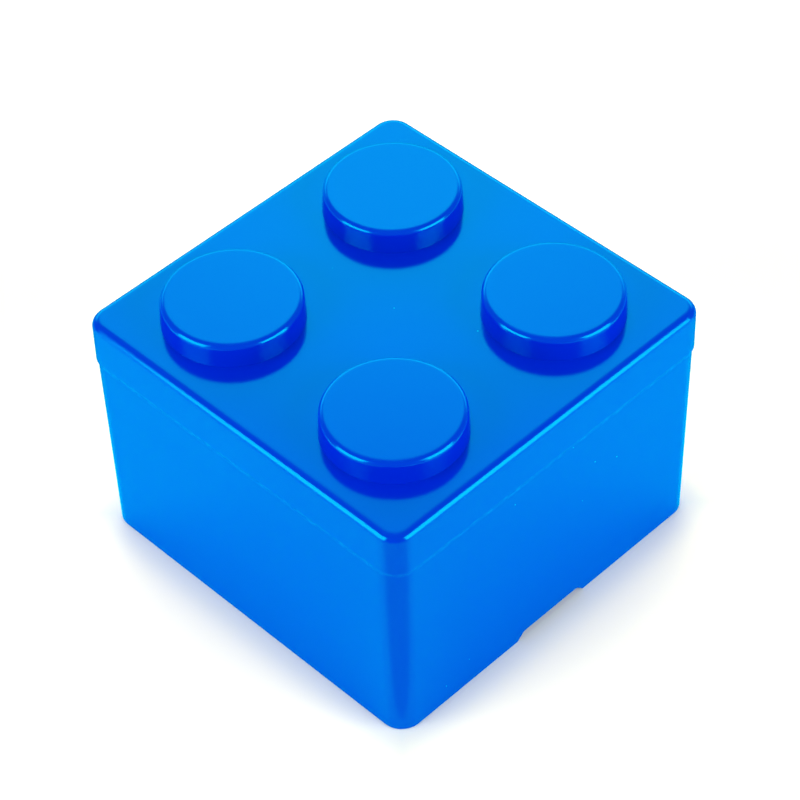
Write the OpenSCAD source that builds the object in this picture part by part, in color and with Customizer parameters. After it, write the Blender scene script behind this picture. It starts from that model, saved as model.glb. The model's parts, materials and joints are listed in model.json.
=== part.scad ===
// Brick-shaped stacking box: a square storage bin and its lift-off lid with four studs.
// Millimetres, +Z up. The origin is the middle of the face that the box stands on, and -Y is its front.

/* [Whole box] */
// Width across the lid's flat sides, at its top face
box_w = 80; // [76:0.5:110]
// Height of the seam between bin and lid above the face that the box stands on
seam_h = 43.2; // [25:0.1:90]
// Mould draft of every upright wall, in degrees
draft = 0.45; // [0:0.05:1]

/* [Lid] */
// Height of the lid from the seam to its top face
lid_h = 9.6; // [8:0.1:16]
// Thickness of the lid's top plate and of the studs' tops
lid_top_t = 2; // [1.2:0.1:2.6]
// Thickness of the lid's skirt at its lower edge
skirt_t = 1.2; // [0.8:0.05:1.5]
// Radius of the lid's upright corners, at its top face
lid_corner_r = 4.3; // [3.5:0.1:8]
// Radius of the rounded edge round the lid's top face
top_edge_r = 1.55; // [0.4:0.05:2]
// Radius of the fine rounding along the seam, on bin and lid
seam_edge_r = 0.25; // [0.1:0.05:0.4]

/* [Studs] */
// Diameter of a stud
stud_d = 26.4; // [18:0.1:29]
// Height of a stud above the lid's top face
stud_h = 4.8; // [3:0.1:6.5]
// Distance between neighbouring studs, centre to centre
stud_pitch = 41; // [34:0.1:44]
// Radius of the rounded edge round a stud's top
stud_edge_r = 0.95; // [0.1:0.05:1.2]
// Thickness of a stud's hollow side wall
stud_wall_t = 1.8; // [1:0.1:3]

/* [Bin] */
// How far the lid's skirt stands proud of the bin at the seam, on each side
skirt_proud = 0.15; // [0.05:0.05:0.4]
// Thickness of the bin's walls
wall_t = 2.5; // [2.2:0.05:3.4]
// Thickness of the bin's floor
floor_t = 1.8; // [1.2:0.1:3]
// Radius of the bin's upright corners, at its foot
bin_corner_r = 4.35; // [4:0.05:8]
// Radius of the fine rounding round the foot
foot_edge_r = 0.4; // [0.1:0.05:0.8]
// Radius where the floor meets the walls inside the bin
floor_edge_r = 1.4; // [0.3:0.1:1.8]
// Height of the neck that stands above the seam, inside the lid's skirt
neck_h = 7; // [4:0.1:7.2]
// Radius of the rounded lead-in edge round the top of the neck
neck_edge_r = 0.5; // [0.1:0.05:0.7]
// Clearance between the neck and the inside of the lid's skirt
neck_clear = 0.2; // [0.1:0.05:0.35]

/* [Stacking sockets] */
// Clearance between a socket and the stud that it takes, on the radius
socket_clear = 0.25; // [0.1:0.05:0.6]
// Free height left above a seated stud
socket_headroom = 0.6; // [0.2:0.1:1.5]
// Thickness of the collar round a socket
collar_t = 1.4; // [0.8:0.1:2]
// How far the collars end above the face that the box stands on
collar_lift = 0.4; // [0.2:0.1:1]

/* [Finger notch] */
// Width of a notch in the foot's edge, at the face that the box stands on
notch_w = 18; // [10:0.5:30]
// Height of a notch
notch_h = 1.65; // [0.8:0.05:2.5]
// Radius of a notch's two upper corners
notch_corner_r = 1.5; // [0.3:0.1:3]

/* [Moulding marks] */
// Diameter of the shallow dimple round the injection gate, under the floor and under the lid
gate_d = 7; // [4:0.5:10]
// Depth of the gate's dimple
gate_depth = 0.3; // [0.1:0.05:0.6]

/* [Hidden] */
$fn = 64;
cut = 1;                                     // how far a cut runs past the face that it opens
slope = tan(draft);

// Heights
lid_z = seam_h + lid_h;                      // the lid's top face
lid_under_z = lid_z - lid_top_t;             // the underside of its plate
stud_z = lid_z + stud_h;                     // the tops of the studs
neck_z = seam_h + neck_h;                    // the top of the neck
floor_under_z = stud_h + socket_headroom;    // the underside of the floor
floor_z = floor_under_z + floor_t;           // the floor inside the bin

// Half widths, from the middle of the box to a flat side
lid_half = box_w / 2;
skirt_half = lid_half + lid_h * slope;       // outside of the skirt, at the seam
skirt_in_half = skirt_half - skirt_t;        // inside of the skirt, at the seam
neck_half = skirt_in_half - neck_clear;      // outside of the neck, at the seam
ledge_half = skirt_half - skirt_proud;       // outside of the bin, at the seam
foot_half = ledge_half - seam_h * slope;     // outside of the bin, at its foot

// Distance of the corners' centres from the middle, along X and along Y
lid_reach = lid_half - lid_corner_r;
bin_reach = foot_half - bin_corner_r;

// Outside half width of the bin's wall at height z
function bin_half(z) = foot_half + z * slope;

// A quarter of a disc beside the Y axis, above the X axis or below it.
module quarter_disc(r, above) {
    intersection() {
        circle(r);
        translate([0, above ? 0 : -r]) square(r);
    }
}

// Outline from a corner's centre line out to a wall that goes from r_low at z_low to r_high at z_high,
// with rounded lower and upper edges.
module wall_outline(r_low, r_high, z_low, z_high, low_edge = 0, high_edge = 0) {
    lean = (r_high - r_low) / (z_high - z_low);
    low_r = r_low + low_edge * lean;
    high_r = r_high - high_edge * lean;
    polygon([
        [0, z_low],
        [low_r - low_edge, z_low],
        [low_r, z_low + low_edge],
        [high_r, z_high - high_edge],
        [high_r - high_edge, z_high],
        [0, z_high]
    ]);
    if (low_edge > 0)
        translate([low_r - low_edge, z_low + low_edge]) quarter_disc(low_edge, false);
    if (high_edge > 0)
        translate([high_r - high_edge, z_high - high_edge]) quarter_disc(high_edge, true);
}

// Square block with rounded upright corners: the wall outline turned round each corner's centre
// and drawn out between the corners.
module rounded_block(reach, z_low, z_high) {
    for (x = [-reach, reach], y = [-reach, reach])
        translate([x, y, 0]) rotate_extrude() children();
    for (turn = [0, 90])
        rotate([90, 0, turn])
            linear_extrude(2 * reach, center = true) {
                translate([-reach, z_low]) square([2 * reach, z_high - z_low]);
                translate([reach, 0]) children();
                translate([-reach, 0]) mirror([1, 0]) children();
            }
}

// What follows, once at each stud's place
module at_studs() {
    for (x = [-1, 1], y = [-1, 1])
        translate([x, y, 0] * stud_pitch / 2) children();
}

// Outside of the bin: the drafted body up to the seam, and the neck that stands in the lid.
module bin_outside() {
    rounded_block(bin_reach, 0, seam_h)
        wall_outline(bin_corner_r, ledge_half - bin_reach, 0, seam_h, foot_edge_r, seam_edge_r);
    neck_foot_z = seam_h - wall_t;
    neck_r = neck_half - lid_reach;
    rounded_block(lid_reach, neck_foot_z, neck_z)
        wall_outline(neck_r + wall_t * slope, neck_r - neck_h * slope, neck_foot_z, neck_z, 0, neck_edge_r);
}

// Space for what is stored, open at the top
module bin_inside() {
    top_z = neck_z + cut;
    rounded_block(bin_reach, floor_z, top_z)
        wall_outline(
            bin_half(floor_z) - wall_t - bin_reach, bin_half(top_z) - wall_t - bin_reach,
            floor_z, top_z, floor_edge_r
        );
}

// Recess under the floor, which takes the studs of a box below
module foot_recess() {
    recess_r = foot_half - wall_t - bin_reach;
    rounded_block(bin_reach, -cut, floor_under_z)
        wall_outline(recess_r + cut * slope, recess_r - floor_under_z * slope, -cut, floor_under_z);
}

// Collars that guide the studs of a box below
module collars() {
    socket_r = stud_d / 2 + socket_clear;
    at_studs() difference() {
        translate([0, 0, collar_lift])
            cylinder(r = socket_r + collar_t, h = floor_under_z - collar_lift + floor_t / 2);
        translate([0, 0, -cut]) cylinder(r = socket_r, h = floor_under_z + cut);
    }
}

// Opening of a finger notch, seen from the front: ends that lean at 45 degrees, and rounded upper corners
module notch_outline() {
    half = notch_w / 2;
    // a rounded corner of 135 degrees starts this far from the sharp one
    start = notch_corner_r * tan(22.5);
    corner_x = half - notch_h - start;
    corner_y = notch_h - notch_corner_r;
    arc = [for (a = [0 : 7.5 : 45]) [corner_x + notch_corner_r * sin(a), corner_y + notch_corner_r * cos(a)]];
    right = concat(arc, [[half, 0], [half, -cut]]);
    polygon(concat(right, [for (i = [len(right) - 1 : -1 : 0]) [-right[i].x, right[i].y]]));
}

// Both notches, front and back, cut through the foot below the floor
module notches() {
    rotate([90, 0, 0]) linear_extrude(box_w + 2 * cut, center = true) notch_outline();
}

// Shallow dimple round an injection gate, cut up into the face at height z
module gate_dimple(z) {
    translate([0, 0, z - cut]) cylinder(d = gate_d, h = gate_depth + cut);
}

module bin() {
    color("#0582F0") {
        difference() {
            bin_outside();
            bin_inside();
            foot_recess();
            notches();
            gate_dimple(floor_under_z);
        }
        collars();
    }
}

module lid() {
    skirt_in_r = skirt_in_half - lid_reach;
    color("#0582F0")
        difference() {
            union() {
                rounded_block(lid_reach, seam_h, lid_z)
                    wall_outline(
                        skirt_half - lid_reach, lid_corner_r, seam_h, lid_z, seam_edge_r, top_edge_r
                    );
                at_studs() rotate_extrude()
                    wall_outline(
                        stud_d / 2, stud_d / 2, lid_under_z + lid_top_t / 2, stud_z, 0, stud_edge_r
                    );
            }
            rounded_block(lid_reach, seam_h - cut, lid_under_z)
                wall_outline(
                    skirt_in_r + cut * slope, skirt_in_r - (lid_under_z - seam_h) * slope,
                    seam_h - cut, lid_under_z
                );
            at_studs() translate([0, 0, lid_under_z - cut])
                cylinder(d = stud_d - 2 * stud_wall_t, h = stud_h + cut);
            gate_dimple(lid_under_z);
        }
}

bin();
lid();
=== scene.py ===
# %% [markdown]
# # A brick-shaped storage box with a lift-off lid
#
# The real thing is two injection mouldings in glossy blue styrene: an open bin, and a lid with four round
# studs that fits over the bin's neck. It stands about 58 mm high on a square of 80 mm.
#
# The construction model arrives as a frame: its solids, its two bodies and the joint that lifts the lid.
# Everything here is in metres and in that same frame: +Z is up, the origin is the middle of the face that
# the box stands on, and -Y is the front.

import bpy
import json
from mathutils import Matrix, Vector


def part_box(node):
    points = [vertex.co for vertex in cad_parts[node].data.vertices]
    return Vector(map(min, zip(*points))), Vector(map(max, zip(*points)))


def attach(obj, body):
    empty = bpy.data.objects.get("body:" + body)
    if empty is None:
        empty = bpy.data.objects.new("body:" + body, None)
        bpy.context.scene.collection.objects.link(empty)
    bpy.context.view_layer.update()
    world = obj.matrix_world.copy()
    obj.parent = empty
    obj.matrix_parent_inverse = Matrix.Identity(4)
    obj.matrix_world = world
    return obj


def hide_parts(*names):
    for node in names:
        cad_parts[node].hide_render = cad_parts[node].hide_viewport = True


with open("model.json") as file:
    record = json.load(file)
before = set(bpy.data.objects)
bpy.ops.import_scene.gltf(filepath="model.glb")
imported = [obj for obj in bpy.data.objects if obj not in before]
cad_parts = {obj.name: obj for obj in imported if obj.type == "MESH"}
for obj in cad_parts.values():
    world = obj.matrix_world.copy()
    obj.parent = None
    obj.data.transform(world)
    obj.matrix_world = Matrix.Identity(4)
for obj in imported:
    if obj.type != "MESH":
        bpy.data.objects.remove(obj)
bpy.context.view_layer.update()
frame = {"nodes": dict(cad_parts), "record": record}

# %% Tools of the trade
import json
import math

import bmesh
import bpy
from mathutils import Matrix, Vector

MM = 0.001                  # the sizes below are written in millimetres
scene = bpy.context.scene
scene.view_settings.view_transform = "Standard"


# %% [markdown]
# ## The box's own sizes
#
# The sizes are given here. Widths are measured from the middle of the box to a flat side, and
# each wall leans outwards by 0.45 degrees on its way up to the seam, so that the moulding comes out of its
# mould. Heights and the studs' place are taken from the frame itself, so that both models stay in step.

# %% Sizes that the frame gives
record_mounts = {mount["name"]: mount for mount in frame["record"]["mounts"]}
stud = record_mounts["stud_back_right"]
sockets = record_mounts["stacking_sockets"]
stud_radius = stud["dims"]["r_mm"] * MM
stud_place = stud["pos_m"][0]                           # from the middle, along X and along Y
stud_centres = [(x, y) for x in (-stud_place, stud_place) for y in (-stud_place, stud_place)]
socket_radius = sockets["dims"]["hole_r_mm"] * MM

floor_under = sockets["pos_m"][2]
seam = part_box("lid")[0][2]
neck_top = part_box("bin")[1][2]
lid_top = record_mounts["lid_top"]["pos_m"][2]
stud_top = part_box("lid")[1][2]
print("heights in mm: seam %.1f, lid %.1f, studs %.1f" % (seam / MM, lid_top / MM, stud_top / MM))

# %% Sizes that the mould gives
DRAFT = math.tan(math.radians(0.45))                    # a wall's lean
LID_HALF = 40 * MM                                      # half the width of the lid's top face
LID_PLATE = 2 * MM
BIN_FLOOR = 1.8 * MM
SKIRT_WALL = 1.2 * MM
NECK_PLAY = 0.2 * MM                                    # the neck slides into the skirt
SKIRT_PROUD = 0.15 * MM                                 # the skirt stands proud of the bin
LID_CORNER = 4.3 * MM                                   # radius of the lid's upright corners
BIN_CORNER = 4.35 * MM

lid_under = lid_top - LID_PLATE
floor_top = floor_under + BIN_FLOOR
skirt_half = LID_HALF + (lid_top - seam) * DRAFT        # outside of the skirt, at the seam
skirt_inside = skirt_half - SKIRT_WALL
neck_half = skirt_inside - NECK_PLAY
ledge_half = skirt_half - SKIRT_PROUD
foot_half = ledge_half - seam * DRAFT
lid_reach = LID_HALF - LID_CORNER                       # centres of the lid's upright corners
bin_reach = foot_half - BIN_CORNER                      # centres of the bin's upright corners
print("widths in mm: foot %.2f, skirt %.2f" % (2 * foot_half / MM, 2 * skirt_half / MM))


# %% [markdown]
# ## From a section to a moulding
#
# Every wall of this box is one section carried round a square with rounded corners. So the section is drawn
# once, as a wire in the XZ plane, and its corners are rounded with a vertex bevel. Then the wire is spun a
# quarter turn round each corner's centre and extruded along each side. That gives even strips of four-sided
# faces that follow the real surface, which a bevel on a finished block wouldn't: its corner patches ripple
# in a mirror-like gloss.
#
# Beside each rounding the straight parts get an extra point 0.25 mm away. Smooth shading then bends only
# inside that narrow strip, and the flat faces reflect as flat faces.

# %% Draw a section
HOLD = 0.25 * MM
BROAD_ROUNDING = 0.3 * MM                               # from here on a rounding takes more steps
FINE_STEPS, BROAD_STEPS = 4, 10


def draw_section(bm, corners):
    """A wire through the corners (out, z, rounding), with its corners rounded and its long edges held."""
    verts = [bm.verts.new((out, 0, z)) for out, z, _ in corners]
    for pair in zip(verts, verts[1:]):
        bm.edges.new(pair)
    old = set(bm.verts) - set(verts)
    for vert, (_, _, rounding) in zip(verts, corners):
        if rounding:
            bmesh.ops.bevel(
                bm, geom=[vert], offset=rounding, offset_type="OFFSET",
                segments=FINE_STEPS if rounding < BROAD_ROUNDING else BROAD_STEPS,
                profile=0.5, affect="VERTICES", material=-1,
            )
    wire = [edge for edge in bm.edges if not edge.link_faces and not old.intersection(edge.verts)]
    for edge in list(wire):
        if edge.calc_length() > 3 * HOLD:
            near, held = bmesh.utils.edge_split(edge, edge.verts[0], HOLD / edge.calc_length())
            rest = max(edge, near, key=lambda part: part.calc_length())
            far, _ = bmesh.utils.edge_split(rest, rest.other_vert(held), HOLD / rest.calc_length())
            wire += [near, far]
    return wire


def points_of(wire):
    """The wire's points, each once. They keep the order of its edges, so every run welds the same ones."""
    return list(dict.fromkeys(vert for edge in wire for vert in edge.verts))


# %% Carry it round the square
CORNER_STEPS = 16


def only(kind, geometry):
    """The items of one kind, such as the edges, out of what an operator gives back."""
    return [item for item in geometry if isinstance(item, kind)]


def sweep_square(bm, corners, reach, side_stops=((), ())):
    """Carries a section round a square whose corners have their centres at reach. The section's out is
    measured from a corner's centre. side_stops are extra places on the left and right sides, and on the
    front and back."""
    turn_down = Matrix.Rotation(-math.pi / 2, 3, "Z")
    wire = draw_section(bm, corners)
    for vert in points_of(wire):
        vert.co = turn_down @ vert.co + Vector((reach, -reach, 0))
    for side in range(4):
        turn = Matrix.Rotation(side * math.pi / 2, 3, "Z")
        spun = bmesh.ops.spin(
            bm, geom=points_of(wire) + wire,
            cent=turn @ Vector((reach, -reach, 0)), axis=(0, 0, 1), dvec=(0, 0, 0), angle=math.pi / 2,
            steps=CORNER_STEPS, use_merge=False, use_duplicate=False,
        )
        wire = only(bmesh.types.BMEdge, spun["geom_last"])
        place = -reach
        for stop in [HOLD - reach, *side_stops[side % 2], reach - HOLD, reach]:
            drawn = bmesh.ops.extrude_edge_only(bm, edges=wire)["geom"]
            fresh = only(bmesh.types.BMVert, drawn)
            bmesh.ops.translate(bm, verts=fresh, vec=turn @ Vector((0, stop - place, 0)))
            wire = [edge for edge in only(bmesh.types.BMEdge, drawn) if set(fresh).issuperset(edge.verts)]
            place = stop


# %% Turn it round an axis
def spin_round(bm, corners, centre, steps):
    """Turns a section once round an upright axis. Its out is measured from the axis."""
    wire = draw_section(bm, corners)
    verts = points_of(wire)
    bmesh.ops.translate(bm, verts=verts, vec=(*centre, 0))
    bmesh.ops.spin(
        bm, geom=verts + wire, cent=(*centre, 0), axis=(0, 0, 1), dvec=(0, 0, 0), angle=2 * math.pi,
        steps=steps, use_merge=True, use_duplicate=False,
    )


# %% Weld and fill
WELD = 0.002 * MM
LEVEL = 0.0001 * MM                                     # two heights this close are the same


def close_seams(bm):
    """Welds where a sweep meets its own start, and where a spun face comes to its axis."""
    bmesh.ops.remove_doubles(bm, verts=bm.verts, dist=WELD)


def open_rims(bm, z):
    """The edges at height z that have a face on one side only."""
    rims = (edge for edge in bm.edges if edge.is_boundary)
    return [edge for edge in rims if all(abs(vert.co.z - z) < LEVEL for vert in edge.verts)]


def fill_level(bm, z):
    """Fills the flat face at height z between the open rims that lie in it."""
    rims = open_rims(bm, z)
    bmesh.ops.triangle_fill(bm, use_beauty=True, use_dissolve=False, edges=rims, normal=(0, 0, 1))


# %% Make the object
CREASE = math.radians(35)


def finish_piece(bm, name):
    """Makes the object, with smooth faces and with sharp edges where two faces meet at a crease."""
    bmesh.ops.recalc_face_normals(bm, faces=bm.faces)
    for face in bm.faces:
        face.smooth = True
    gaps = sum(1 for edge in bm.edges if not edge.is_manifold)
    volume = bm.calc_volume(signed=True)
    mesh = bpy.data.meshes.new(name)
    bm.to_mesh(mesh)
    bm.free()
    mesh.set_sharp_from_angle(angle=CREASE)
    piece = bpy.data.objects.new(name, mesh)
    scene.collection.objects.link(piece)
    triangles = sum(len(polygon.vertices) - 2 for polygon in mesh.polygons)
    print("%s: %d faces, %d triangles, %d open edges, %.2f cm3 of plastic" % (
        name, len(mesh.polygons), triangles, gaps, volume / (10 * MM) ** 3,
    ))
    return piece


# %% [markdown]
# ## The lid
#
# The lid is one moulding: a top plate 2 mm thick, a skirt with a soft 1.55 mm edge round the top, and four
# studs. The studs are hollow from below, because a solid block of plastic would sink as it cools.
#
# The skirt's section is swept round the square, each stud and each hollow is spun round its own axis, and
# the flat faces are filled between their rims. So the whole lid is a single closed skin, as a moulding is,
# and light can't leak through a joint that the real lid doesn't have.

# %% The skirt's section
TOP_EDGE = 1.55 * MM
SEAM_EDGE = 0.25 * MM
INNER_EDGE = 0.15 * MM
PLATE_FILLET = 0.3 * MM


def lid_out(half):
    """From the centre of a corner of the lid out to a side that lies half from the middle."""
    return half - lid_reach


skirt_root = lid_out(skirt_inside) - (lid_under - seam) * DRAFT     # where its inside meets the plate
lid_skirt = [
    (lid_out(LID_HALF) - TOP_EDGE - HOLD, lid_top, 0),
    (lid_out(LID_HALF), lid_top, TOP_EDGE),
    (lid_out(skirt_half), seam, SEAM_EDGE),
    (lid_out(skirt_inside), seam, INNER_EDGE),
    (skirt_root, lid_under, PLATE_FILLET),
    (skirt_root - PLATE_FILLET - HOLD, lid_under, 0),
]
print("skirt: %d corners in its section" % len(lid_skirt))

# %% Sections of a stud, its hollow and the gate
STUD_LEAN = 0.15 * MM                                   # wider at its foot than halfway up
STUD_EDGE = 0.95 * MM
STUD_WALL = 1.8 * MM
STUD_ROOF = 2 * MM
HOLLOW_RIM = 0.12 * MM
HOLLOW_FILLET = 0.2 * MM
GATE_RADIUS, GATE_DEPTH, GATE_FILLET = 3.5 * MM, 0.3 * MM, 0.1 * MM

stud_skin = [
    (stud_radius + STUD_LEAN + HOLD, lid_top, 0),
    (stud_radius + STUD_LEAN, lid_top, 0),
    (stud_radius - STUD_LEAN, stud_top, STUD_EDGE),
    (0, stud_top, 0),
]
hollow_radius = stud_radius - STUD_WALL
hollow_skin = [
    (hollow_radius + HOLLOW_RIM + HOLD, lid_under, 0),
    (hollow_radius, lid_under, HOLLOW_RIM),
    (hollow_radius, stud_top - STUD_ROOF, HOLLOW_FILLET),
    (0, stud_top - STUD_ROOF, 0),
]


def gate_dimple(z):
    """The shallow dimple round an injection gate, in a face that looks down at height z."""
    return [(GATE_RADIUS, z, 0), (GATE_RADIUS, z + GATE_DEPTH, GATE_FILLET), (0, z + GATE_DEPTH, 0)]


print("stud: %.1f mm across, its hollow %.1f mm" % (2 * stud_radius / MM, 2 * hollow_radius / MM))

# %% Lid
STUD_STEPS = 96
GATE_STEPS = 48
lid_mesh = bmesh.new()
sweep_square(lid_mesh, lid_skirt, lid_reach)
for centre in stud_centres:
    spin_round(lid_mesh, stud_skin, centre, STUD_STEPS)
    spin_round(lid_mesh, hollow_skin, centre, STUD_STEPS)
spin_round(lid_mesh, gate_dimple(lid_under), (0, 0), GATE_STEPS)
close_seams(lid_mesh)
fill_level(lid_mesh, lid_top)
fill_level(lid_mesh, lid_under)
lid_moulding = finish_piece(lid_mesh, "lid_moulding")


# %% [markdown]
# ## The bin
#
# The bin's skin takes three sections. The first runs from under the floor, round the foot and up the
# outside to the ledge at the seam. The second is the neck, whose corners share the lid's centres, and the
# third is the inside with its rounded floor edge. On the ledge bridge_loops joins the rims of the first
# two, which works cleanly because both have the same number of points round the square. The narrow ring on
# top of the neck is filled between its rims, as all the other flat faces are. The volume that is printed
# in the end tells whether the skin closes where it should: a sheet across the bin's mouth would make it
# ten times as much.
#
# A finger notch is cut in the foot at the front and at the back, so that stacked boxes can be prised apart.
# The sides get extra stops along the notch's outline, and the foot's lower points are lifted to it. A
# boolean cut would leave long thin faces in the glossy wall, and this way the fine rounding of the foot
# runs on round the notch.

# %% Notch outline
NOTCH_HALF = 9 * MM
NOTCH_HEIGHT = 1.65 * MM
NOTCH_ROUNDING = 1.5 * MM
NOTCH_END = 45                                          # degrees that its ends slope

half_turn = math.radians(NOTCH_END / 2)
notch_centre = NOTCH_HALF - NOTCH_HEIGHT - NOTCH_ROUNDING * math.tan(half_turn)
notch_half_stops = [
    notch_centre + NOTCH_ROUNDING * math.sin(math.radians(angle)) for angle in range(0, NOTCH_END + 1, 5)
]
notch_half_stops += [NOTCH_HALF - HOLD / 2, NOTCH_HALF, NOTCH_HALF + HOLD / 2]
notch_stops = sorted([-x for x in notch_half_stops] + notch_half_stops)


def notch_lift(x):
    """Height of the notch's outline at x: a flat roof, rounded corners and sloping ends."""
    beyond = abs(x) - notch_centre
    if beyond <= 0:
        return NOTCH_HEIGHT
    if beyond <= NOTCH_ROUNDING * math.sin(math.radians(NOTCH_END)):
        return NOTCH_HEIGHT - NOTCH_ROUNDING + math.sqrt(NOTCH_ROUNDING ** 2 - beyond ** 2)
    return max(0, NOTCH_HALF - abs(x))


print("notch: %d stops, %.2f mm high" % (len(notch_stops), notch_lift(0) / MM))

# %% The bin's outside
WALL = 2.5 * MM
FOOT_EDGE = 0.4 * MM
FLOOR_FILLET = 0.2 * MM                                 # under the floor
OVER_LEDGE = 0.6 * MM                                   # how far the outside's skin runs in over the ledge


def bin_out(half):
    """From the centre of a corner of the bin out to a side that lies half from the middle."""
    return half - bin_reach


foot_inside = bin_out(foot_half - WALL)
recess_root = foot_inside - floor_under * DRAFT         # where the foot's inside meets the floor
outer_section = [
    (recess_root - FLOOR_FILLET - HOLD, floor_under, 0),
    (recess_root, floor_under, FLOOR_FILLET),
    (foot_inside, 0, INNER_EDGE),
    (bin_out(foot_half), 0, FOOT_EDGE),
    (bin_out(ledge_half), seam, SEAM_EDGE),
    (bin_out(ledge_half) - OVER_LEDGE, seam, 0),
]
print("foot: %.2f mm from the middle" % (foot_half / MM))

# %% Its neck and its inside
NECK_EDGE = 0.5 * MM
MOUTH_EDGE = 0.2 * MM
INSIDE_FILLET = 1.4 * MM                                # round the floor
NECK_STEP = 0.1 * MM                                    # short flat ends, where the skins meet
NECK_LIP = 0.7 * MM
MOUTH_LIP = 0.3 * MM

inside_low = foot_half + floor_top * DRAFT - WALL
inside_high = foot_half + neck_top * DRAFT - WALL
neck_high = neck_half - (neck_top - seam) * DRAFT
neck_section = [
    (lid_out(neck_half) + NECK_STEP, seam, 0),
    (lid_out(neck_half), seam, 0),
    (lid_out(neck_high), neck_top, NECK_EDGE),
    (lid_out(neck_high) - NECK_LIP, neck_top, 0),
]
inner_section = [
    (bin_out(inside_high) + MOUTH_LIP, neck_top, 0),
    (bin_out(inside_high), neck_top, MOUTH_EDGE),
    (bin_out(inside_low), floor_top, INSIDE_FILLET),
    (bin_out(inside_low) - INSIDE_FILLET - HOLD, floor_top, 0),
]
print("wall at the neck's top: %.2f mm" % ((neck_high - inside_high) / MM))

# %% [markdown]
# ## The sockets
#
# Under the floor four round collars take the studs of a box below, and their rounded mouths lead the studs
# in. A collar and its socket are one section, spun round the axis in one go, so no tube has to be cut open.

# %% Sockets under the floor
SOCKET_WALL = 1.4 * MM
SOCKET_LOW = 0.4 * MM                                   # the collars end this high above the table
SOCKET_MOUTH = 0.3 * MM
SOCKET_FILLET = 0.1 * MM

collar = socket_radius + SOCKET_WALL
socket_skin = [
    (collar + FLOOR_FILLET + HOLD, floor_under, 0),
    (collar, floor_under, FLOOR_FILLET),
    (collar, SOCKET_LOW, INNER_EDGE),
    (socket_radius, SOCKET_LOW, SOCKET_MOUTH),
    (socket_radius, floor_under, SOCKET_FILLET),
    (0, floor_under, 0),
]
print("socket: %.2f mm across" % (2 * socket_radius / MM))

# %% Outside of the bin, with its notches
FOOT_STRIP = 0.9 * MM                                   # holds the points of the foot's roundings
stops = ((), notch_stops)
bin_mesh = bmesh.new()
sweep_square(bin_mesh, outer_section, bin_reach, stops)
close_seams(bin_mesh)

lifted = 0
for vert in bin_mesh.verts:
    if vert.co.z < FOOT_STRIP and abs(vert.co.x) < NOTCH_HALF and abs(vert.co.y) > lid_reach:
        lift = notch_lift(vert.co.x)
        outside = abs(vert.co.y) > foot_half - WALL / 2
        vert.co.y += math.copysign(lift * DRAFT * (1 if outside else -1), vert.co.y)
        vert.co.z += lift
        lifted += 1
print("notches: %d points lifted" % lifted)

# %% Rest of the bin
sweep_square(bin_mesh, neck_section, lid_reach, stops)
sweep_square(bin_mesh, inner_section, bin_reach, stops)
close_seams(bin_mesh)
bmesh.ops.bridge_loops(bin_mesh, edges=open_rims(bin_mesh, seam))
fill_level(bin_mesh, neck_top)
for centre in stud_centres:
    spin_round(bin_mesh, socket_skin, centre, STUD_STEPS)
spin_round(bin_mesh, gate_dimple(floor_under), (0, 0), GATE_STEPS)
close_seams(bin_mesh)
fill_level(bin_mesh, floor_under)
fill_level(bin_mesh, floor_top)
bin_moulding = finish_piece(bin_mesh, "bin_moulding")


# %% [markdown]
# ## On the frame
#
# Each moulding stands for the solid of its own name and rides on that solid's body, so the lid lifts off
# the bin as the construction model says.

# %% Ride on the frame
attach(lid_moulding, "lid")
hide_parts("lid")
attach(bin_moulding, "bin")
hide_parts("bin")


# %% [markdown]
# ## Polished styrene
#
# The plastic is high-impact polystyrene, coloured right through with a strong blue pigment and moulded
# against polished steel. Two things give it its look. The body colour is a deep, pure blue, which shows
# wherever the surface mirrors something dark, as on the studs' sides. Over it lies a tight gloss, which
# mirrors the white room and makes the top and the walls a lighter, greener blue. The reflection is tinted
# so that it doesn't turn the blue pale.
#
# Up close the gloss isn't perfect. Cooling leaves a faint unevenness with waves a few millimetres long,
# which a low noise bump draws. A little dust settles on it in single specks. Along the seam lies a thin
# broken lighter trace, partly dust that gathers there and partly a painted highlight of the seam's edges.

# %% Colour and node helpers
def srgb(hex_code):
    """Turns a hex colour into the linear values that the shader works with."""
    values = [int(hex_code[i:i + 2], 16) / 255 for i in (1, 3, 5)]
    return tuple(v / 12.92 if v <= 0.04045 else ((v + 0.055) / 1.055) ** 2.4 for v in values) + (1.0,)


def add_node(tree, kind, settings=(), inputs=(), links=()):
    """Adds a node with its settings, its input values and its incoming links. Sockets that share a name go
    by number: a Mix node takes numbers at 2 and 3 and gives theirs at 0, and it takes colours at 6 and 7
    and gives theirs at 2."""
    node = tree.nodes.new(kind)
    for key, value in dict(settings).items():
        setattr(node, key, value)
    for key, value in dict(inputs).items():
        node.inputs[key].default_value = value
    for key, source in dict(links).items():
        tree.links.new(source, node.inputs[key])
    return node


def soft_steps(tree, *steps):
    """A product of soft steps. Each is a value, its start and end, and the level before and after them."""
    product = None
    for value, start, end, before, after in steps:
        step = add_node(
            tree, "ShaderNodeMapRange", {"interpolation_type": "SMOOTHSTEP"},
            {"From Min": start, "From Max": end, "To Min": before, "To Max": after}, {"Value": value},
        ).outputs["Result"]
        product = step if product is None else add_node(
            tree, "ShaderNodeMath", {"operation": "MULTIPLY"}, links={0: product, 1: step},
        ).outputs["Value"]
    return product


def off_axis(tree, place):
    """How far a place is from the box's middle, along X or along Y, whichever is more."""
    positive = add_node(tree, "ShaderNodeVectorMath", {"operation": "ABSOLUTE"}, links={0: place})
    sides = add_node(tree, "ShaderNodeSeparateXYZ", links={"Vector": positive.outputs["Vector"]}).outputs
    return add_node(
        tree, "ShaderNodeMath", {"operation": "MAXIMUM"}, links={0: sides["X"], 1: sides["Y"]},
    ).outputs["Value"]


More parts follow.
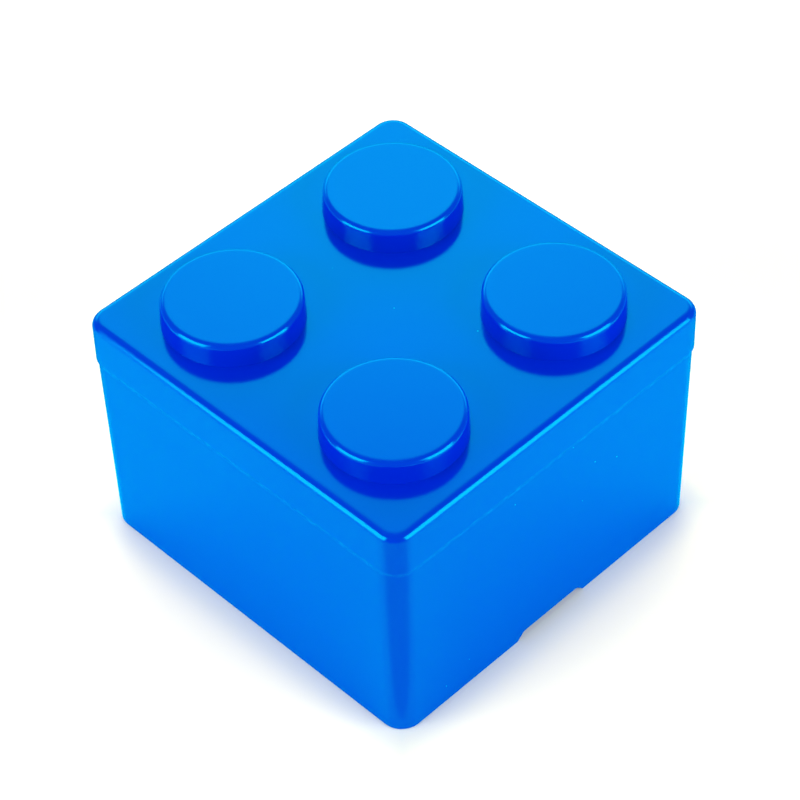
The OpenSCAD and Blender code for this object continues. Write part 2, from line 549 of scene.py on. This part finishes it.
# %% Moulding ripple
RIPPLE_WAVE = 6 * MM
RIPPLE_HEIGHT = 0.05 * MM
RIPPLE_STRENGTH = 0.12                          # so a few micrometres are left of the height


def moulding_ripple(tree, shifted):
    """The faint waves of a moulded gloss, as a bump."""
    waves = add_node(
        tree, "ShaderNodeTexNoise", inputs={"Scale": 1 / RIPPLE_WAVE, "Detail": 1.0, "Roughness": 0.4},
        links={"Vector": shifted},
    )
    return add_node(
        tree, "ShaderNodeBump", inputs={"Strength": RIPPLE_STRENGTH, "Distance": RIPPLE_HEIGHT},
        links={"Height": waves.outputs["Fac"]},
    ).outputs["Normal"]


# %% Specks of dust
DUST_CELL = 3 * MM                              # a cell of this width has one speck at most
SPECK_RADIUS = 0.135 * MM
CLEAN_CELLS = 0.86                              # so one cell in seven has a speck


def dust_specks(tree, shifted):
    """1 in each round speck and 0 between them."""
    cells = add_node(
        tree, "ShaderNodeTexVoronoi", inputs={"Scale": 1 / DUST_CELL, "Randomness": 1.0},
        links={"Vector": shifted},
    ).outputs
    speck = add_node(
        tree, "ShaderNodeMath", {"operation": "LESS_THAN"}, {1: SPECK_RADIUS / DUST_CELL},
        {0: cells["Distance"]},
    ).outputs["Value"]
    chance = add_node(tree, "ShaderNodeSeparateColor", links={"Color": cells["Color"]}).outputs["Red"]
    chosen = add_node(
        tree, "ShaderNodeMath", {"operation": "GREATER_THAN"}, {1: CLEAN_CELLS}, {0: chance},
    ).outputs["Value"]
    return add_node(
        tree, "ShaderNodeMath", {"operation": "MULTIPLY"}, links={0: speck, 1: chosen},
    ).outputs["Value"]


# %% Dust and a painted highlight along the seam
PATCH = 2 * MM
CLEAN_WITHIN, TRACED_BEYOND = 38.2 * MM, 38.5 * MM       # from the middle, so the bin's inside stays clean


def seam_dust_and_highlight(tree, place, shifted):
    """A thin lighter trace outside along the seam, thicker in some places than in others: partly dust,
    partly a painted highlight.
    """
    height = add_node(tree, "ShaderNodeSeparateXYZ", links={"Vector": place}).outputs["Z"]
    above = add_node(tree, "ShaderNodeMath", {"operation": "SUBTRACT"}, {1: seam}, {0: height})
    away = add_node(tree, "ShaderNodeMath", {"operation": "ABSOLUTE"}, links={0: above.outputs["Value"]})
    patches = add_node(
        tree, "ShaderNodeTexNoise", inputs={"Scale": 1 / PATCH, "Detail": 2.0}, links={"Vector": shifted},
    )
    return soft_steps(
        tree,
        (away.outputs["Value"], 0.1 * MM, 0.9 * MM, 1.0, 0.0),
        (patches.outputs["Fac"], 0.4, 0.8, 0.06, 0.3),
        (off_axis(tree, place), CLEAN_WITHIN, TRACED_BEYOND, 0.0, 1.0),
    )


# %% Polished styrene
BODY_BLUE = "#0020CC"
# the lighter blue of the dust specks, and of the seam's trace, which is partly a painted highlight
DUST_AND_HIGHLIGHT_BLUE = "#4F9CF0"
SHIFT_X, SHIFT_Y = 13 * MM, 7 * MM              # from one moulding's patterns to the next one's


def polished_styrene(name, seed):
    """Glossy blue styrene with a faint moulding ripple, a little dust and a painted highlight along the
    seam.
    """
    material = bpy.data.materials.new(name)
    material.use_nodes = True
    tree = material.node_tree
    tree.nodes.clear()
    place = add_node(tree, "ShaderNodeTexCoord").outputs["Object"]
    shifted = add_node(
        tree, "ShaderNodeMapping", inputs={"Location": (seed * SHIFT_X, seed * SHIFT_Y, 0)},
        links={"Vector": place},
    ).outputs["Vector"]
    # dust specks, and the seam's trace, which is partly dust and partly a painted highlight
    dust_and_highlight = add_node(
        tree, "ShaderNodeMath", {"operation": "MAXIMUM"},
        links={0: dust_specks(tree, shifted), 1: seam_dust_and_highlight(tree, place, shifted)},
    ).outputs["Value"]
    colour = add_node(
        tree, "ShaderNodeMix", {"data_type": "RGBA"}, {6: srgb(BODY_BLUE), 7: srgb(DUST_AND_HIGHLIGHT_BLUE)}, {0: dust_and_highlight},
    )
    surface = add_node(
        tree, "ShaderNodeBsdfPrincipled",
        inputs={
            "IOR": 1.59,                        # polystyrene
            "Roughness": 0.15,
            "Specular IOR Level": 1.0,
            "Specular Tint": (0.03, 1.0, 1.0, 1.0),
            "Coat Weight": 1.0,                 # a coat that only tints what the gloss gives back
            "Coat IOR": 1.0,                    # and has no gloss of its own
            "Coat Tint": (0.1, 1.0, 1.0, 1.0),
        },
        links={"Base Color": colour.outputs[2], "Normal": moulding_ripple(tree, shifted)},
    )
    add_node(tree, "ShaderNodeOutputMaterial", links={"Surface": surface.outputs["BSDF"]})
    return material


# %% Finish both mouldings
for piece, node, seed in ((bin_moulding, "bin", 1), (lid_moulding, "lid", 2)):
    finish = polished_styrene("polished_styrene_" + node, seed)
    piece.data.materials.append(finish)
    cad = frame["nodes"][node]
    cad.data.materials.clear()
    cad.data.materials.append(finish)
    print("%s: %s, %d nodes" % (piece.name, finish.name, len(finish.node_tree.nodes)))


# %% [markdown]
# ## A white table with painted shade, in a soft studio
#
# The floor is matt white, but not the same for everything that looks at it. The camera sees it a little
# brighter than the lamps make it, so that it keeps the box's own soft shadow and goes white away from the
# box, and close round the box's foot it is painted darker, a painted shadow that deepens the box's own. In
# the box's gloss it is painted darker in front of the nearest corner, where no lamp stands, painted a
# little lighter beside the box and painted darker behind it. For the lamps and the gloss it is also painted
# darker far out in front.
#
# The room is dim except for a white cove behind the box: a broad band low down, and above it a narrow glow
# that thins out towards the ceiling. Two upright softboxes stand left and right of the camera with a dark
# gap between them. They draw the light lines on the rounded edges, and the gap is what the front corner
# and the studs' fronts mirror. An overhead lamp lifts the whole box a little and doesn't show in its gloss.

# %% Which way the camera looks
AWAY = Vector((0.693, 0.721, 0))                # level, from the camera past the box


def bearing_away(tree, vector):
    """1 where a vector, taken level, points from the camera past the box, and -1 where it points back."""
    level_way = add_node(
        tree, "ShaderNodeVectorMath", {"operation": "MULTIPLY"}, {1: (1, 1, 0)}, {0: vector},
    )
    compass = add_node(
        tree, "ShaderNodeVectorMath", {"operation": "NORMALIZE"}, links={0: level_way.outputs["Vector"]},
    )
    return add_node(
        tree, "ShaderNodeVectorMath", {"operation": "DOT_PRODUCT"}, {1: AWAY},
        {0: compass.outputs["Vector"]},
    ).outputs["Value"]


# %% Floor
FLOOR_WIDTH = 6
bpy.ops.mesh.primitive_plane_add(size=FLOOR_WIDTH)
floor = bpy.context.object
floor.name = "floor"

paint = bpy.data.materials.new("matt_white_paint")
paint.use_nodes = True
tree = paint.node_tree
tree.nodes.clear()
floor.data.materials.append(paint)
print("floor: %d m wide" % FLOOR_WIDTH)

# %% The floor as the lamps and the gloss find it, with painted shade and light
LAMPLIT_WHITE = 0.8
NEAR_CORNER = (-0.04, -0.04, 0)

rays = add_node(tree, "ShaderNodeLightPath").outputs
place = add_node(tree, "ShaderNodeTexCoord").outputs["Object"]
beyond = add_node(
    tree, "ShaderNodeVectorMath", {"operation": "DOT_PRODUCT"}, {1: AWAY}, {0: place},
).outputs["Value"]
from_corner = add_node(
    tree, "ShaderNodeVectorMath", {"operation": "SUBTRACT"}, {1: NEAR_CORNER}, {0: place},
).outputs["Vector"]
# painted shade and light on the floor, seen only in the box's gloss: darker in front of the corner, lighter
# beside the box, darker behind it
gloss_painted_light_and_shade = soft_steps(
    tree,
    (bearing_away(tree, from_corner), -0.75, -0.35, 0.68, 1.0),         # darker in front of the corner
    (beyond, -0.06, 0.01, 1.12, 1.28),                                  # a little lighter beside the box
    (beyond, 0.01, 0.04, 1.0, 0.6),                                     # and darker behind it
)
white = add_node(
    tree, "ShaderNodeMix", {"data_type": "FLOAT"}, {2: LAMPLIT_WHITE},
    {0: rays["Is Glossy Ray"], 3: gloss_painted_light_and_shade},
).outputs[0]
# painted shade: far out in front the floor is painted darker for the lamps and the gloss, while the camera
# still sees it white
far_front = soft_steps(tree, (beyond, -0.35, -0.1, 0.4, 1.0))           # and far out in front
unseen = add_node(
    tree, "ShaderNodeMath", {"operation": "MULTIPLY"}, links={0: white, 1: far_front},
).outputs["Value"]

# %% The floor as the camera sees it
# painted shadow: close round the box's foot the floor is painted darker than further out, which deepens the
# box's own soft shadow
SHADOW_TONE = (0.93, 1.0, 0.94, 1)              # at the box's foot
NEAR_TONE = (1.34, 1.29, 0.99, 1)               # from 8 mm away
FAR_TONE = (4, 4, 4, 1)                         # white, however little light gets there

out_from_box = off_axis(tree, place)
seen = add_node(
    tree, "ShaderNodeMix", {"data_type": "RGBA"}, {6: SHADOW_TONE, 7: NEAR_TONE},
    {0: soft_steps(tree, (out_from_box, 38 * MM, 47.5 * MM, 0.0, 1.0))},
).outputs[2]
seen = add_node(
    tree, "ShaderNodeMix", {"data_type": "RGBA"}, {7: FAR_TONE},
    {0: soft_steps(tree, (out_from_box, 150 * MM, 900 * MM, 0.0, 1.0)), 6: seen},
).outputs[2]
colour = add_node(
    tree, "ShaderNodeMix", {"data_type": "RGBA"}, links={0: rays["Is Camera Ray"], 6: unseen, 7: seen},
).outputs[2]
matt = add_node(tree, "ShaderNodeBsdfDiffuse", links={"Color": colour})
add_node(tree, "ShaderNodeOutputMaterial", links={"Surface": matt.outputs["BSDF"]})
print("floor: %s, %d nodes" % (paint.name, len(tree.nodes)))

# %% Cove
world = bpy.data.worlds.new("white_cove")
scene.world = world
world.use_nodes = True
tree = world.node_tree
tree.nodes.clear()
direction = add_node(tree, "ShaderNodeTexCoord").outputs["Generated"]
behind = bearing_away(tree, direction)

# heights are sines of the angle above the table: 0.3 is 17 degrees, 0.5 is 30, 0.7 is 44 and 0.9 is 64
height = add_node(tree, "ShaderNodeSeparateXYZ", links={"Vector": direction}).outputs["Z"]
low_band = soft_steps(
    tree,
    (height, 0.12, 0.30, 1.2, 3.2),             # weaker right above the table
    (height, 0.44, 0.57, 1.0, 0.0),
    (behind, 0.6, 0.97, 0.0, 1.0),              # and fading out to both sides
)
high_glow = soft_steps(
    tree,
    (height, 0.44, 0.57, 0.0, 2.0),             # takes over where the band ends
    (height, 0.67, 0.77, 1.0, 0.27),
    (height, 0.86, 0.98, 1.0, 0.1),
)

# %% Strength of the room's light
ROOM_LEVEL = 0.34
GLOW_NARROWNESS = 16.0                          # half as bright 17 degrees to either side
CAMERA_LEVEL = 1.0                              # white

ahead = add_node(tree, "ShaderNodeMath", {"operation": "MAXIMUM"}, {1: 0.0}, {0: behind})
narrow = add_node(
    tree, "ShaderNodeMath", {"operation": "POWER"}, {1: GLOW_NARROWNESS}, {0: ahead.outputs["Value"]},
)
cove = add_node(
    tree, "ShaderNodeMath", {"operation": "MULTIPLY_ADD"},
    links={0: high_glow, 1: narrow.outputs["Value"], 2: low_band},
)
level = add_node(
    tree, "ShaderNodeMath", {"operation": "ADD"}, {1: ROOM_LEVEL}, {0: cove.outputs["Value"]},
)
rays = add_node(tree, "ShaderNodeLightPath").outputs
strength = add_node(
    tree, "ShaderNodeMix", {"data_type": "FLOAT"}, {3: CAMERA_LEVEL},
    {0: rays["Is Camera Ray"], 2: level.outputs["Value"]},
)
back = add_node(
    tree, "ShaderNodeBackground", inputs={"Color": (1, 1, 1, 1)}, links={"Strength": strength.outputs[0]},
)
add_node(tree, "ShaderNodeOutputWorld", links={"Surface": back.outputs["Background"]})
print("room: %s, %d nodes" % (world.name, len(tree.nodes)))

# %% Softboxes
CAMERA_AZIMUTH = -43.902
LAMP_DISTANCE = 1.0
SOFTBOX = (0.74, 0.72)                          # width and height
OVERHEAD = (0.5, 0.5)


def softbox(name, azimuth, elevation, size, power):
    """A rectangle of light that looks at the box. The azimuth is measured from the camera's."""
    light = bpy.data.lights.new(name, "AREA")
    light.shape = "RECTANGLE"
    light.size, light.size_y = size
    light.energy = power
    lamp = bpy.data.objects.new(name, light)
    turn = math.radians(CAMERA_AZIMUTH + azimuth)
    rise = math.radians(elevation)
    towards = Vector((math.sin(turn) * math.cos(rise), -math.cos(turn) * math.cos(rise), math.sin(rise)))
    facing = towards.to_track_quat("Z", "Y").to_matrix().to_4x4()
    lamp.matrix_world = Matrix.Translation(towards * LAMP_DISTANCE) @ facing
    scene.collection.objects.link(lamp)
    print("%s: %.1f W" % (name, power))
    return lamp


softbox("softbox_left", -61, 20, SOFTBOX, 7.9)
softbox("softbox_right", 61, 20, SOFTBOX, 8.1)
overhead = softbox("softbox_overhead", -120, 80, OVERHEAD, 1.8)
overhead.visible_glossy = False                 # it lights the box but doesn't show in its gloss


# %% [markdown]
# ## Camera
#
# The camera looks down on the front left corner from about half a metre, a little rolled.

# %% Camera
CAMERA_ELEVATION = 45.691
CAMERA_ROLL = -1.959
CAMERA_PLACE = Vector((-0.253617, -0.264424, 0.405302))
SENSOR = 36                                     # its width in mm
FRAME, FOCUS = 800, 2808.016                    # the frame's width and the focal length, in pixels

azimuth, elevation, roll = (math.radians(a) for a in (CAMERA_AZIMUTH, CAMERA_ELEVATION, CAMERA_ROLL))
backward = Vector((
    math.sin(azimuth) * math.cos(elevation), -math.cos(azimuth) * math.cos(elevation), math.sin(elevation),
))
level_right = Vector((0, 0, 1)).cross(backward).normalized()
level_up = backward.cross(level_right)
right = level_right * math.cos(roll) + level_up * math.sin(roll)
up = level_up * math.cos(roll) - level_right * math.sin(roll)
turned = Matrix((right, up, backward)).transposed().to_4x4()

camera = bpy.data.objects.new("camera", bpy.data.cameras.new("camera"))
camera.data.sensor_width = SENSOR
camera.data.lens = SENSOR * FOCUS / FRAME
camera.data.clip_start, camera.data.clip_end = 0.01, 20
camera.matrix_world = Matrix.Translation(CAMERA_PLACE) @ turned
scene.collection.objects.link(camera)
scene.camera = camera
print("lens %.2f mm, %.3f m from the box" % (camera.data.lens, CAMERA_PLACE.length))
